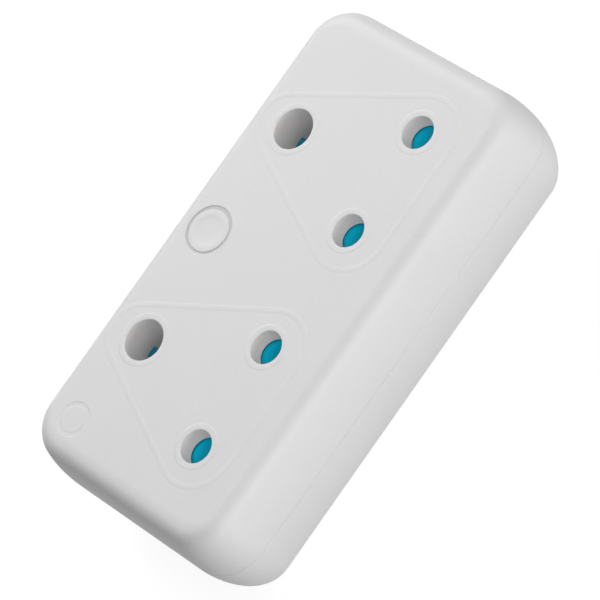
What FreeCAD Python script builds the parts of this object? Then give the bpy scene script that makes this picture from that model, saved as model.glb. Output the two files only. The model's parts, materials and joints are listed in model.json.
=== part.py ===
import FreeCAD, Part
import math
import os

# Two-gang block for large round-pin plugs: a front and a rear shell on a parting line,
# spring-loaded shutters behind the pin holes, brass contacts inside and a reset button.
# Millimetres. X runs along the block, +Y is the earth side, +Z points out of the socket face.
# The origin is the centre of the rear face, which is the face that the block lies on.

# Plug pins and their layout, from the standard for this plug
EARTH_PIN_D = 8.7
EARTH_PIN_LENGTH = 28.6
LINE_PIN_D = 7.06
LINE_PIN_LENGTH = 18.6
EARTH_TO_LINE = 28.6
LINE_SPACING = 25.4

# Cord that the inlet takes
CORD_D = 9.0

# Housing
SIDE_FLARE = 2.3
REAR_TAPER = 3.0
FACE_CORNER_R = 8.6
FACE_EDGE_R = 2.4
REAR_EDGE_R = 7.2
SIDE_WALL = 2.2
FACE_WALL = 2.4
REAR_WALL = 2.2
PARTING_BEVEL = 0.3
LIP_HEIGHT = 1.6
LIP_INSET = 1.2

# Room between what the housing holds
SOCKET_SHIFT = 1.0
CARRIER_SPACING = 2.1
EARTH_SIDE_ROOM = 1.55
LINE_SIDE_ROOM = 0.25
BOSS_ROOM = 0.2
BOSS_WALL_ROOM = 0.4
STRIP_FLOOR_ROOM = 0.7

# Pin holes and the raised marks round them
EARTH_HOLE_PLAY = 0.45
LINE_HOLE_PLAY = 0.27
HOLE_RIM_R = 0.3
EMBOSS = 0.25
COLLAR_WIDTH = 1.4
PAD_SIDE_MARGIN = 9.5
PAD_MARGIN = 10.7
PAD_EARTH_CORNER_R = 7.8
PAD_LINE_CORNER_R = 10.0
PAD_RIDGE = 1.5
EARTH_TUBE_DEPTH = 12.0
EARTH_TUBE_WALL = 1.7
EARTH_TUBE_RELIEF = 0.3
LINE_BOSS_DEPTH = 4.7

# Bare round mark in the corner of the face
MARK_END_INSET = 8.0
MARK_SIDE_INSET = 8.85
MARK_R = 4.2
MARK_DISC_R = 3.0
MARK_DEPTH = 0.3

# Clearances
SLIDE_GAP = 0.2
SIDE_GAP = 0.3
FIXED_GAP = 0.15
THREAD_GAP = 0.02
SLEEVE_GAP = 0.02

# Shutters
SHUTTER_THICKNESS = 1.7
SHUTTER_OVERLAP = 0.8
SHUTTER_STEM_HALF = 6.5
SHUTTER_CORNER_R = 1.2
CAM_WIDTH = 2.7
CAM_SHIFT = -0.75
CAM_SLOPE = 24.0
CAM_PIN_GAP = 0.2
CAM_TIP_HEIGHT = 1.0
CAM_RIB_LENGTH = 12.5
SHUTTER_DISH_R = 14.0
SHUTTER_DISH_DEPTH = 0.35

# Coil springs
SHUTTER_SPRING_R = 1.6
SHUTTER_SPRING_WIRE = 0.4
SHUTTER_SPRING_TURNS = 13
SHUTTER_SPRING_SEAT = 13.6
SPRING_PEG_LENGTH = 2.0
RESET_SPRING_R = 3.6
RESET_SPRING_WIRE = 0.6
RESET_SPRING_TURNS = 4
RESET_SPRING_LENGTH = 5.3

# Contact carriers, one behind each socket
CARRIER_PLATE = 2.0
CARRIER_CORNER_R = 3.0
CARRIER_TUBE_WALL = 1.0
CARRIER_RAIL = 0.8
CARRIER_END_WALL = 1.0
CARRIER_MARGIN = 0.6
HOLD_DOWN_RIB = 2.4
POST_R = 2.0
POST_END_INSET = 3.7
POST_FROM_EARTH = 3.8
POST_FROM_LINE = 12.9

# Contact sleeves, their clips and the strips that join them
SLEEVE_WALL = 0.9
SLEEVE_SPIGOT_STEP = 0.35
SLEEVE_SLOT = 0.8
SLEEVE_SLOT_FOOT = 2.5
SLEEVE_LEAD_IN = 0.5
PIN_TIP_ROOM = 0.55
LINE_TIP_ROOM = 1.65
CLIP_THICKNESS = 0.7
CLIP_HEIGHT = 2.5
CLIP_DROP = 1.5
CLIP_MOUTH = 1.2
STRIP_THICKNESS = 1.2
STRIP_WIDTH = 4.5
TAB_WIDTH = 8.0
TAB_END_R = 5.0
LIVE_BAR_GAP = 2.0
NEUTRAL_BAR_DROP = 10.1
EARTH_BAR_WIDTH = 5.0
BRANCH_X = 2.5

# Screw terminals
TERMINAL_SIZE = 7.0
TERMINAL_HEIGHT = 7.5
TERMINAL_WIRE_R = 1.8
TERMINAL_WIRE_Z = 2.6
TERMINAL_SCREW_R = 1.5
TERMINAL_HEAD_R = 2.6
TERMINAL_HEAD_HEIGHT = 1.8
SCREW_SLOT = 0.8
LIVE_TERMINAL_X = -4.0
LIVE_TERMINAL_REACH = 5.7
EARTH_TERMINAL_RISE = 1.9

# Thermal cut-out and its reset button
BUTTON_X = 0.6
BUTTON_RISE = 3.0
BUTTON_R = 5.15
BUTTON_GAP = 0.25
BUTTON_TRAVEL = 2.0
BUTTON_EDGE_R = 0.7
BUTTON_DISH_R = 3.35
BUTTON_DISH_DEPTH = 0.3
BUTTON_FLANGE = 1.25
BUTTON_FLANGE_HEIGHT = 1.6
BUTTON_STEM_R = 2.0
BUTTON_STEM_LENGTH = 6.3
BUTTON_COLLAR_WALL = 1.5
BUTTON_COLLAR_DEPTH = 4.4
CUTOUT_LENGTH = 16.0
CUTOUT_WIDTH = 13.0
CUTOUT_HEIGHT = 10.0
CUTOUT_WELL = 4.0
CUTOUT_BEVEL = 0.6
CUTOUT_TAB_WIDTH = 6.2
CUTOUT_TAB_THICKNESS = 0.8
CUTOUT_TAB_REACH = 5.0
CUTOUT_TAB_SPACING = 9.4
CUTOUT_RIB = 1.5

# Cord inlet and clamp
INLET_FLOOR_ROOM = 1.7
INLET_BOSS_WALL = 1.2
INLET_PARTING_ROOM = 0.1
INLET_SET_BACK = 0.2
BUSH_PLAY = 0.2
BUSH_WALL = 1.2
BUSH_FLANGE = 0.8
BUSH_FLANGE_THICKNESS = 1.2
CLAMP_CARRIER_ROOM = 0.3
CLAMP_BUSH_ROOM = 0.4
CLAMP_LENGTH = 5.2
CLAMP_HALF_WIDTH = 12.2
CLAMP_THICKNESS = 3.2
CLAMP_SQUEEZE = 1.4
CLAMP_SCREW_Y = 9.3
CLAMP_POST_R = 2.5
CLAMP_SCREW_R = 1.25
CLAMP_SCREW_DEPTH = 9.0

# Case screws
SCREW_SIDE_INSET = 8.25
SCREW_R = 1.45
SCREW_HEAD_R = 3.0
SCREW_HEAD_HEIGHT = 2.2
SCREW_LENGTH = 18.0
SCREW_SEAT_Z = 5.0
SCREW_HOLE_PLAY = 0.4
SCREW_CROSS = 0.9
SCREW_CROSS_DEPTH = 1.1
BOSS_WALL = 1.95
RECESS_WALL = 1.5

# How far a cut runs past the face it starts from, and how near two lengths count as equal
PAST = 1.0
TOLERANCE = 1e-4

# Sizes and places that follow from the ones above
EARTH_HOLE_R = EARTH_PIN_D / 2 + EARTH_HOLE_PLAY
LINE_HOLE_R = LINE_PIN_D / 2 + LINE_HOLE_PLAY
EARTH_BORE_R = EARTH_PIN_D / 2 + SLEEVE_GAP
LINE_BORE_R = LINE_PIN_D / 2 + SLEEVE_GAP
EARTH_SLEEVE_R = EARTH_BORE_R + SLEEVE_WALL
LINE_SLEEVE_R = LINE_BORE_R + SLEEVE_WALL
LINE_CLIP_R = LINE_SLEEVE_R + THREAD_GAP + CLIP_THICKNESS
EARTH_TUBE_R = EARTH_HOLE_R + EARTH_TUBE_WALL
EARTH_WELL_R = EARTH_TUBE_R + SLIDE_GAP
LINE_WELL_R = LINE_CLIP_R + SLIDE_GAP
EARTH_WELL_OUT_R = EARTH_WELL_R + CARRIER_TUBE_WALL
LINE_WELL_OUT_R = LINE_WELL_R + CARRIER_TUBE_WALL
BUSH_BORE_R = CORD_D / 2 + BUSH_PLAY
BUSH_R = BUSH_BORE_R + BUSH_WALL
BUSH_FLANGE_R = BUSH_R + BUSH_FLANGE
INLET_BOSS_R = BUSH_R + INLET_BOSS_WALL
BOSS_R = SCREW_R + BOSS_WALL
FLANGE_R = BUTTON_R + BUTTON_FLANGE

# Heights
HEIGHT = REAR_WALL + STRIP_FLOOR_ROOM + STRIP_THICKNESS + PIN_TIP_ROOM + EARTH_PIN_LENGTH - EMBOSS
CEILING_Z = HEIGHT - FACE_WALL
RIM_Z = HEIGHT + EMBOSS
INLET_Z = REAR_WALL + INLET_FLOOR_ROOM + BUSH_FLANGE_R
PARTING_Z = INLET_Z + INLET_BOSS_R + INLET_PARTING_ROOM
FRONT_DEPTH = HEIGHT - PARTING_Z
EARTH_TUBE_Z = HEIGHT - EARTH_TUBE_DEPTH
LINE_BOSS_Z = HEIGHT - LINE_BOSS_DEPTH
SHUTTER_TOP = LINE_BOSS_Z - SLIDE_GAP
SHUTTER_Z = SHUTTER_TOP - SHUTTER_THICKNESS
PLATE_TOP = SHUTTER_Z - SLIDE_GAP
PLATE_Z = PLATE_TOP - CARRIER_PLATE
SPRING_Z = (PLATE_Z + SHUTTER_TOP) / 2
EARTH_SLEEVE_TOP = EARTH_TUBE_Z - SLIDE_GAP * 3
LINE_SLEEVE_TOP = PLATE_Z - SLIDE_GAP
EARTH_STRIP_TOP = RIM_Z - EARTH_PIN_LENGTH - PIN_TIP_ROOM
EARTH_STRIP_Z = EARTH_STRIP_TOP - STRIP_THICKNESS
LINE_STRIP_TOP = RIM_Z - LINE_PIN_LENGTH - LINE_TIP_ROOM
LINE_STRIP_Z = LINE_STRIP_TOP - STRIP_THICKNESS
FLANGE_TOP = HEIGHT - BUTTON_COLLAR_DEPTH - SLIDE_GAP
FLANGE_Z = FLANGE_TOP - BUTTON_FLANGE_HEIGHT
CUTOUT_TOP_Z = FLANGE_Z - RESET_SPRING_LENGTH
CUTOUT_Z = CUTOUT_TOP_Z - CUTOUT_HEIGHT
TAB_TOP = LINE_STRIP_TOP + CUTOUT_TAB_THICKNESS
CLAMP_Z = INLET_Z + CORD_D / 2 - CLAMP_SQUEEZE

# Shutters and carriers, and the housing's width round them
SHUTTER_EDGE = LINE_HOLE_R + SHUTTER_OVERLAP
SHUTTER_HALF = LINE_SPACING / 2 + SHUTTER_EDGE + SHUTTER_OVERLAP
SHUTTER_STROKE = LINE_HOLE_R + SHUTTER_EDGE + THREAD_GAP * 5
CAM_Z = SHUTTER_TOP - SHUTTER_STROKE * math.tan(math.radians(CAM_SLOPE)) - CAM_TIP_HEIGHT
SPRING_SEAT_HALF = CAM_WIDTH / 2 + abs(CAM_SHIFT)
CHANNEL_HALF = SPRING_SEAT_HALF + SLIDE_GAP * 2
SPRING_PEG_R = SHUTTER_SPRING_R - SHUTTER_SPRING_WIRE - SLIDE_GAP
RAIL_X = SHUTTER_HALF + SIDE_GAP
CARRIER_HALF = RAIL_X + CARRIER_RAIL
CHANNEL_REACH = SHUTTER_EDGE + SHUTTER_STROKE + SIDE_GAP
CARRIER_TOP_REACH = EARTH_WELL_OUT_R + CARRIER_MARGIN
CARRIER_WIDTH = CARRIER_TOP_REACH + EARTH_TO_LINE + CHANNEL_REACH + CARRIER_END_WALL
FACE_WIDTH = CARRIER_WIDTH + EARTH_SIDE_ROOM + LINE_SIDE_ROOM + 2 * SIDE_WALL
CARRIER_HIGH_Y = FACE_WIDTH / 2 - SIDE_WALL - EARTH_SIDE_ROOM
EARTH_ROW_Y = CARRIER_HIGH_Y - CARRIER_TOP_REACH
LINE_ROW_Y = EARTH_ROW_Y - EARTH_TO_LINE
CHANNEL_END_Y = LINE_ROW_Y - CHANNEL_REACH
CARRIER_LOW_Y = CHANNEL_END_Y - CARRIER_END_WALL
SPRING_SEAT_Y = LINE_ROW_Y - SHUTTER_EDGE + SHUTTER_SPRING_SEAT
CAM_FOOT_Y = EARTH_ROW_Y - EARTH_PIN_D / 2 - CAM_PIN_GAP
CAM_TIP_Y = CAM_FOOT_Y + SHUTTER_STROKE
POST_X = CARRIER_HALF - POST_END_INSET
POST_ROWS_Y = (EARTH_ROW_Y + POST_FROM_EARTH, LINE_ROW_Y + POST_FROM_LINE)

# Places along the block, and the housing's length round them
SOCKET_PITCH = 2 * (CARRIER_HALF + FLANGE_R + CARRIER_SPACING)
SOCKET_X = (SOCKET_SHIFT + SOCKET_PITCH / 2, SOCKET_SHIFT - SOCKET_PITCH / 2)
CARRIER_END_X = SOCKET_X[0] + CARRIER_HALF
SCREW_X = CARRIER_END_X + BOSS_ROOM + BOSS_R
FACE_LENGTH = 2 * (SCREW_X + BOSS_R + BOSS_WALL_ROOM + SIDE_WALL)
SCREW_Y = FACE_WIDTH / 2 - SCREW_SIDE_INSET
MARK_X = MARK_END_INSET - FACE_LENGTH / 2
MARK_Y = FACE_WIDTH / 2 - MARK_SIDE_INSET
CLAMP_X = CARRIER_END_X + CLAMP_CARRIER_ROOM + CLAMP_LENGTH / 2
BUSH_IN_X = CLAMP_X + CLAMP_LENGTH / 2 + CLAMP_BUSH_ROOM
INLET_BOSS_IN_X = BUSH_IN_X + BUSH_FLANGE_THICKNESS
INLET_BOSS_OUT_X = FACE_LENGTH / 2 + SIDE_FLARE - INLET_SET_BACK
SCREW_PLACES = [(sx * SCREW_X, sy * SCREW_Y) for sx in (1, -1) for sy in (1, -1)]
CLAMP_SCREW_PLACES = [(CLAMP_X, sy * CLAMP_SCREW_Y) for sy in (1, -1)]

# Cut-out, strips and terminals
BUTTON_Y = EARTH_ROW_Y + BUTTON_RISE
CUTOUT_FRONT_Y = BUTTON_Y - CUTOUT_WIDTH / 2
LIVE_TERMINAL_Y = CUTOUT_FRONT_Y - LIVE_TERMINAL_REACH
LIVE_BAR_Y = LIVE_TERMINAL_Y - (TERMINAL_SIZE + STRIP_WIDTH) / 2 - LIVE_BAR_GAP
NEUTRAL_BAR_Y = LINE_ROW_Y - NEUTRAL_BAR_DROP
EARTH_TERMINAL_Y = LINE_ROW_Y + EARTH_TERMINAL_RISE
TERMINAL_PLACES = {
    "live_terminal": (LIVE_TERMINAL_X, LIVE_TERMINAL_Y, TAB_TOP),
    "neutral_terminal": (BRANCH_X, NEUTRAL_BAR_Y, LINE_STRIP_TOP),
    "earth_terminal": (BRANCH_X, EARTH_TERMINAL_Y, EARTH_STRIP_TOP),
}


def vector(x, y, z=0.0):
    return FreeCAD.Vector(x, y, z)


def block(x0, x1, y0, y1, z0, z1):
    return Part.makeBox(x1 - x0, y1 - y0, z1 - z0, vector(x0, y0, z0))


def rod(x, y, z0, z1, radius):
    return Part.makeCylinder(radius, z1 - z0, vector(x, y, z0))


def rod_along_x(x0, x1, y, z, radius):
    return Part.makeCylinder(radius, x1 - x0, vector(x0, y, z), vector(1, 0, 0))


def rod_along_y(x, y0, y1, z, radius):
    return Part.makeCylinder(radius, y1 - y0, vector(x, y0, z), vector(0, 1, 0))


def join(shapes):
    whole = shapes[0].multiFuse(shapes[1:]) if len(shapes) > 1 else shapes[0]
    return whole.removeSplitter()


def line_places(socket):
    """Live and neutral hole centres of one socket."""
    x = SOCKET_X[socket]
    return (x + LINE_SPACING / 2, LINE_ROW_Y), (x - LINE_SPACING / 2, LINE_ROW_Y)


def rounded_rectangle(length, width, radius, z):
    """Closed wire about the Z axis, starting at the same corner whatever its size."""
    centre_x = length / 2 - radius
    centre_y = width / 2 - radius
    signs = ((1, 1), (-1, 1), (-1, -1), (1, -1))
    arcs = []
    for turn, (sx, sy) in enumerate(signs):
        points = []
        for part in (0.0, 0.5, 1.0):
            angle = math.pi / 2 * (turn + part)
            points.append(vector(sx * centre_x + radius * math.cos(angle),
                                 sy * centre_y + radius * math.sin(angle), z))
        arcs.append(points)
    edges = []
    for turn, points in enumerate(arcs):
        edges.append(Part.Arc(*points).toShape())
        following = arcs[(turn + 1) % len(arcs)][0]
        edges.append(Part.LineSegment(points[-1], following).toShape())
    return Part.Wire(edges)


def outline(z, inset=0.0):
    """Outline of the housing at a height, moved inwards by inset."""
    if z >= PARTING_Z:
        grow = SIDE_FLARE * (HEIGHT - z) / FRONT_DEPTH
    else:
        grow = SIDE_FLARE - REAR_TAPER * (PARTING_Z - z) / PARTING_Z
    grow -= inset
    return rounded_rectangle(FACE_LENGTH + 2 * grow, FACE_WIDTH + 2 * grow,
                             FACE_CORNER_R + grow, z)


def loft(low, high):
    return Part.makeLoft([low, high], True, True)


def straight(wire, height):
    return Part.Face(wire).extrude(vector(0, 0, height))


def edges_at(solid, z):
    """Edges of a solid that lie wholly at one height."""
    found = []
    for edge in solid.Edges:
        box = edge.BoundBox
        if abs(box.ZMin - z) < TOLERANCE and abs(box.ZMax - z) < TOLERANCE:
            found.append(edge)
    return found


def upright_edges(solid, height):
    """Edges of a solid that run straight up over a height."""
    return [edge for edge in solid.Edges if abs(edge.BoundBox.ZLength - height) < TOLERANCE]


def lathe(points, x, y):
    """Solid turned about a vertical axis from a profile of (radius, height) points."""
    corners = [vector(r, 0, z) for r, z in points]
    face = Part.Face(Part.makePolygon(corners + corners[:1]))
    solid = face.revolve(vector(0, 0), vector(0, 0, 1), 360)
    return solid.translated(vector(x, y))


def hole_cutter(x, y, radius, z0):
    """Round hole from the face down to z0, with its mouth rounded over."""
    mouth_r = radius + HOLE_RIM_R
    arc_r = mouth_r - HOLE_RIM_R * math.sqrt(0.5)
    arc_z = RIM_Z - HOLE_RIM_R * (1 - math.sqrt(0.5))
    corners = [vector(0, 0, z0), vector(radius, 0, z0), vector(radius, 0, RIM_Z - HOLE_RIM_R)]
    rim = Part.Arc(corners[-1], vector(arc_r, 0, arc_z), vector(mouth_r, 0, RIM_Z)).toShape()
    top = [vector(mouth_r, 0, RIM_Z), vector(mouth_r, 0, RIM_Z + PAST), vector(0, 0, RIM_Z + PAST)]
    edges = Part.makePolygon(corners).Edges + [rim] + Part.makePolygon(top + corners[:1]).Edges
    solid = Part.Face(Part.Wire(edges)).revolve(vector(0, 0), vector(0, 0, 1), 360)
    return solid.translated(vector(x, y))


def pad_outline(x, inset):
    """Rounded triangle round one socket, moved inwards by inset."""
    earth_r = PAD_EARTH_CORNER_R - inset
    line_r = PAD_LINE_CORNER_R - inset
    earth_c = vector(0, EARTH_ROW_Y + PAD_MARGIN - PAD_EARTH_CORNER_R)
    line_c = vector(LINE_SPACING / 2 + PAD_SIDE_MARGIN - PAD_LINE_CORNER_R,
                    LINE_ROW_Y - PAD_MARGIN + PAD_LINE_CORNER_R)
    span = line_c - earth_c
    tilt = math.atan2(span.y, span.x) + math.acos((earth_r - line_r) / span.Length)

    def on(centre, radius, angle, side):
        return vector(x + side * (centre.x + radius * math.cos(angle)),
                      centre.y + radius * math.sin(angle), HEIGHT - PAST)

    down = -math.pi / 2
    between = (tilt + down) / 2
    right = [on(line_c, line_r, angle, 1) for angle in (down, between, tilt)]
    left = [on(line_c, line_r, angle, -1) for angle in (tilt, between, down)]
    top_right = on(earth_c, earth_r, tilt, 1)
    top_left = on(earth_c, earth_r, tilt, -1)
    apex = on(earth_c, earth_r, math.pi / 2, 1)
    return Part.Wire([
        Part.Arc(*right).toShape(),
        Part.LineSegment(right[-1], top_right).toShape(),
        Part.Arc(top_right, apex, top_left).toShape(),
        Part.LineSegment(top_left, left[0]).toShape(),
        Part.Arc(*left).toShape(),
        Part.LineSegment(left[-1], right[0]).toShape(),
    ])


def coil(start, end, radius, wire, turns):
    """Compression spring between two points, wire is its wire's diameter."""
    axis = end - start
    free = axis.Length - wire
    helix = Part.makeHelix(free / turns, free, radius - wire / 2)
    section = Part.Wire(Part.makeCircle(wire / 2, vector(radius - wire / 2, 0, 0), vector(0, 1, 0)))
    sweep = Part.Wire(helix).makePipeShell([section], True, True)
    sweep.translate(vector(0, 0, wire / 2))
    turn = FreeCAD.Rotation(vector(0, 0, 1), axis)
    sweep.Placement = FreeCAD.Placement(start, turn).multiply(sweep.Placement)
    return sweep


def slotted_screw(x, y, seat, shank_r, head_r, head_height, depth):
    """Screw that stands head up on a seat."""
    top = seat + head_height
    body = join([rod(x, y, seat - depth, seat, shank_r), rod(x, y, seat, top, head_r)])
    slot = block(x - SCREW_SLOT / 2, x + SCREW_SLOT / 2, y - head_r - PAST, y + head_r + PAST,
                 top - head_height / 2, top + PAST)
    return body.cut(slot)


def front_shell():
    outer = loft(outline(PARTING_Z), outline(HEIGHT))
    outer = outer.makeFillet(FACE_EDGE_R, edges_at(outer, HEIGHT))
    outer = outer.makeChamfer(PARTING_BEVEL, edges_at(outer, PARTING_Z))
    raised = outer.translated(vector(0, 0, EMBOSS))
    cavity = loft(outline(PARTING_Z, SIDE_WALL), outline(CEILING_Z, SIDE_WALL))
    rebate = straight(outline(PARTING_Z, LIP_INSET - FIXED_GAP), LIP_HEIGHT + FIXED_GAP)
    shell = outer.cut([cavity, rebate])

    into_wall = CEILING_Z + FACE_WALL / 2
    added = []
    cuts = []
    for socket, x in enumerate(SOCKET_X):
        ridge = straight(pad_outline(x, 0), PAST + 2 * EMBOSS)
        ridge = ridge.cut(straight(pad_outline(x, PAD_RIDGE), PAST + 2 * EMBOSS))
        added.append(ridge.common(raised))
        added.append(rod(x, EARTH_ROW_Y, EARTH_TUBE_Z, into_wall, EARTH_TUBE_R))
        added.append(rod(x, EARTH_ROW_Y, into_wall, RIM_Z, EARTH_HOLE_R + COLLAR_WIDTH))
        cuts.append(hole_cutter(x, EARTH_ROW_Y, EARTH_HOLE_R, LINE_BOSS_Z - PAST))
        cuts.append(rod(x, EARTH_ROW_Y, EARTH_TUBE_Z - PAST, LINE_BOSS_Z,
                        EARTH_HOLE_R + EARTH_TUBE_RELIEF))
        cam_x = x + CAM_SHIFT
        cuts.append(block(cam_x - CAM_WIDTH / 2 - SLIDE_GAP, cam_x + CAM_WIDTH / 2 + SLIDE_GAP,
                          EARTH_ROW_Y - EARTH_TUBE_R - PAST, EARTH_ROW_Y,
                          EARTH_TUBE_Z - PAST, SHUTTER_TOP + SLIDE_GAP))
        for hole_x, hole_y in line_places(socket):
            added.append(rod(hole_x, hole_y, LINE_BOSS_Z, RIM_Z, LINE_HOLE_R + COLLAR_WIDTH))
            cuts.append(hole_cutter(hole_x, hole_y, LINE_HOLE_R, LINE_BOSS_Z - PAST))
        added.append(block(x - HOLD_DOWN_RIB / 2, x + HOLD_DOWN_RIB / 2, CHANNEL_END_Y,
                           SPRING_SEAT_Y, LINE_BOSS_Z, into_wall))
        for post_y in POST_ROWS_Y:
            for side in (1, -1):
                added.append(rod(x + side * POST_X, post_y, PLATE_TOP, into_wall, POST_R))

    collar_r = BUTTON_R + BUTTON_GAP + BUTTON_COLLAR_WALL
    added.append(rod(BUTTON_X, BUTTON_Y, HEIGHT - BUTTON_COLLAR_DEPTH, into_wall, collar_r))
    cuts.append(rod(BUTTON_X, BUTTON_Y, HEIGHT - BUTTON_COLLAR_DEPTH - PAST, RIM_Z + PAST,
                    BUTTON_R + BUTTON_GAP))
    for x, y in SCREW_PLACES:
        added.append(rod(x, y, PARTING_Z, into_wall, BOSS_R))
        cuts.append(rod(x, y, PARTING_Z - PAST, SCREW_SEAT_Z + SCREW_LENGTH + PAST,
                        SCREW_R + THREAD_GAP))
    mark = rod(MARK_X, MARK_Y, HEIGHT - MARK_DEPTH, HEIGHT + PAST, MARK_R)
    cuts.append(mark.cut(rod(MARK_X, MARK_Y, HEIGHT - 2 * MARK_DEPTH, HEIGHT + PAST, MARK_DISC_R)))
    return join([shell] + added).cut(cuts).removeSplitter()


def rear_shell():
    outer = loft(outline(0), outline(PARTING_Z))
    outer = outer.makeFillet(REAR_EDGE_R, edges_at(outer, 0))
    outer = outer.makeChamfer(PARTING_BEVEL, edges_at(outer, PARTING_Z))
    cavity = loft(outline(REAR_WALL, SIDE_WALL), outline(PARTING_Z, SIDE_WALL))
    cavity = cavity.makeFillet(REAR_EDGE_R - SIDE_WALL, edges_at(cavity, REAR_WALL))
    lip = straight(outline(PARTING_Z, LIP_INSET), LIP_HEIGHT)
    lip = lip.cut(straight(outline(PARTING_Z, SIDE_WALL), LIP_HEIGHT))

    into_floor = REAR_WALL / 2
    held = []
    for x, y in SCREW_PLACES:
        held.append(rod(x, y, into_floor, PARTING_Z - FIXED_GAP, BOSS_R))
        held.append(rod(x, y, into_floor, SCREW_SEAT_Z + SCREW_HEAD_HEIGHT,
                        SCREW_HEAD_R + SCREW_HOLE_PLAY + RECESS_WALL))
    for socket, x in enumerate(SOCKET_X):
        held.append(rod(x, EARTH_ROW_Y, into_floor, EARTH_STRIP_Z, EARTH_WELL_OUT_R))
        for hole_x, hole_y in line_places(socket):
            held.append(rod(hole_x, hole_y, into_floor, LINE_STRIP_Z, LINE_SLEEVE_R))
    held.append(rod(BRANCH_X, NEUTRAL_BAR_Y, into_floor, LINE_STRIP_Z, TERMINAL_SIZE / 2))
    held.append(rod(BRANCH_X, EARTH_TERMINAL_Y, into_floor, EARTH_STRIP_Z, TERMINAL_SIZE / 2))
    held.append(rod(LIVE_TERMINAL_X, LIVE_TERMINAL_Y, into_floor, LINE_STRIP_TOP,
                    CUTOUT_TAB_WIDTH / 2))
    rib_notch = block(-FACE_LENGTH / 2, FACE_LENGTH / 2,
                      EARTH_ROW_Y - EARTH_BAR_WIDTH / 2 - SIDE_GAP,
                      EARTH_ROW_Y + EARTH_BAR_WIDTH / 2 + SIDE_GAP,
                      into_floor - PAST, EARTH_STRIP_TOP + SIDE_GAP)
    for side in (1, -1):
        rib_x = BUTTON_X + side * (CUTOUT_LENGTH / 2 - CUTOUT_RIB)
        rib = block(rib_x - CUTOUT_RIB / 2, rib_x + CUTOUT_RIB / 2, CUTOUT_FRONT_Y,
                    BUTTON_Y + CUTOUT_WIDTH / 2, into_floor, CUTOUT_Z)
        held.append(rib.cut(rib_notch))
    for x, y in CLAMP_SCREW_PLACES:
        held.append(rod(x, y, into_floor, CLAMP_Z, CLAMP_POST_R))
    held = [piece.common(outer) for piece in held]
    held.append(rod_along_x(INLET_BOSS_IN_X, INLET_BOSS_OUT_X, 0, INLET_Z, INLET_BOSS_R))

    cuts = [rod_along_x(INLET_BOSS_IN_X - PAST, INLET_BOSS_OUT_X + PAST, 0, INLET_Z,
                        BUSH_R + THREAD_GAP),
            rod_along_x(BUSH_IN_X - FIXED_GAP, INLET_BOSS_IN_X, 0, INLET_Z,
                        BUSH_FLANGE_R + FIXED_GAP)]
    for x, y in SCREW_PLACES:
        cuts.append(rod(x, y, -PAST, SCREW_SEAT_Z, SCREW_HEAD_R + SCREW_HOLE_PLAY))
        cuts.append(rod(x, y, -PAST, PARTING_Z + PAST, SCREW_R + SCREW_HOLE_PLAY))
    for x, y in CLAMP_SCREW_PLACES:
        cuts.append(rod(x, y, CLAMP_Z - CLAMP_SCREW_DEPTH, CLAMP_Z + PAST,
                        CLAMP_SCREW_R + THREAD_GAP))
    return join([outer.cut(cavity), lip] + held).cut(cuts).removeSplitter()


def shutter(socket):
    x = SOCKET_X[socket]
    low_y = LINE_ROW_Y - SHUTTER_EDGE
    high_y = LINE_ROW_Y + SHUTTER_EDGE
    stem_y = EARTH_ROW_Y - EARTH_TUBE_R - SHUTTER_OVERLAP * 3
    blades = block(x - SHUTTER_HALF, x + SHUTTER_HALF, low_y, high_y, SHUTTER_Z, SHUTTER_TOP)
    blades = blades.makeFillet(SHUTTER_CORNER_R, upright_edges(blades, SHUTTER_THICKNESS))
    stem = block(x - SHUTTER_STEM_HALF, x + SHUTTER_STEM_HALF, low_y, stem_y, SHUTTER_Z, SHUTTER_TOP)
    heel_y = CAM_TIP_Y - CAM_RIB_LENGTH
    profile = [(SPRING_SEAT_Y, SHUTTER_TOP), (SPRING_SEAT_Y, PLATE_Z),
               (heel_y - (PLATE_Z - CAM_Z), PLATE_Z), (heel_y, CAM_Z), (CAM_TIP_Y, CAM_Z),
               (CAM_TIP_Y, CAM_Z + CAM_TIP_HEIGHT), (CAM_FOOT_Y, SHUTTER_TOP)]
    corners = [vector(x + CAM_SHIFT - CAM_WIDTH / 2, y, z) for y, z in profile]
    cam = Part.Face(Part.makePolygon(corners + corners[:1])).extrude(vector(CAM_WIDTH, 0, 0))
    seat = block(x - SPRING_SEAT_HALF, x + SPRING_SEAT_HALF, SPRING_SEAT_Y,
                 SPRING_SEAT_Y + SHUTTER_THICKNESS, PLATE_Z, SHUTTER_TOP)
    pocket = block(x - CHANNEL_HALF, x + CHANNEL_HALF, low_y - PAST, SPRING_SEAT_Y,
                   SHUTTER_Z - PAST, SHUTTER_TOP + PAST)
    dishes = []
    for hole_x, hole_y in line_places(socket):
        centre_z = SHUTTER_TOP + SHUTTER_DISH_R - SHUTTER_DISH_DEPTH
        dishes.append(Part.makeSphere(SHUTTER_DISH_R, vector(hole_x, hole_y, centre_z)))
    peg = rod_along_y(x, SPRING_SEAT_Y - SPRING_PEG_LENGTH, SPRING_SEAT_Y + PAST, SPRING_Z,
                      SPRING_PEG_R)
    return join([join([blades, stem]).cut([pocket] + dishes), cam, seat, peg])


def shutter_spring(socket):
    x = SOCKET_X[socket]
    start = vector(x, CHANNEL_END_Y + THREAD_GAP, SPRING_Z)
    end = vector(x, SPRING_SEAT_Y - THREAD_GAP, SPRING_Z)
    return coil(start, end, SHUTTER_SPRING_R, SHUTTER_SPRING_WIRE, SHUTTER_SPRING_TURNS)


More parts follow.
